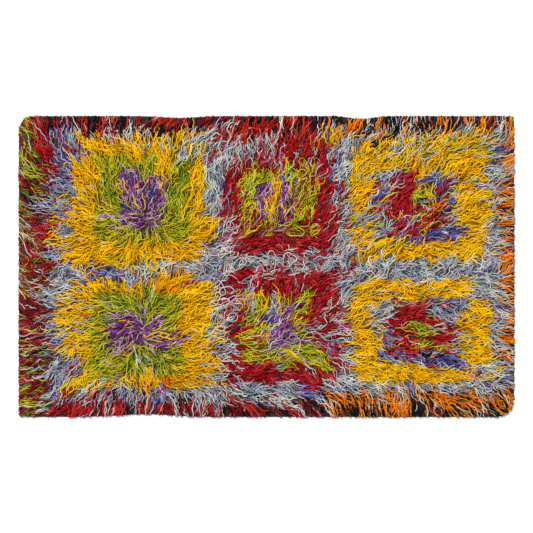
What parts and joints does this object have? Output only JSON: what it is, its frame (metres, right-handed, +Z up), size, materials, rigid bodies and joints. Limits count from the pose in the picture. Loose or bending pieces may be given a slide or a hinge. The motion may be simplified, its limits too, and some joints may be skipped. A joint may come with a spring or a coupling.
{
  "type": "tulu rug",
  "caption": "Shaggy hand-knotted tulu rug of long wool yarn, laid flat, with nested squares and loose locks at its rim.",
  "frame": {"origin": "middle of the rug's underside, on the floor that it lies on", "axes": "+X along the rug, +Y across it, +Z up out of the pile"},
  "size_m": [1.98, 1.204, 0.0424],
  "materials": {
    "wool_pile": "long combed wool yarn",
    "ground_cloth": "coarse plain weave",
    "gold_yarn": "kinked wool yarn",
    "crimson_yarn": "kinked wool yarn",
    "lime_yarn": "kinked wool yarn",
    "violet_yarn": "kinked wool yarn",
    "slate_yarn": "kinked wool yarn",
    "ivory_yarn": "kinked wool yarn",
    "orange_yarn": "kinked wool yarn",
    "black_yarn": "kinked wool yarn"
  },
  "bodies": {
    "root": {"tulu_rug": "wool_pile"}
  },
  "joints": []
}
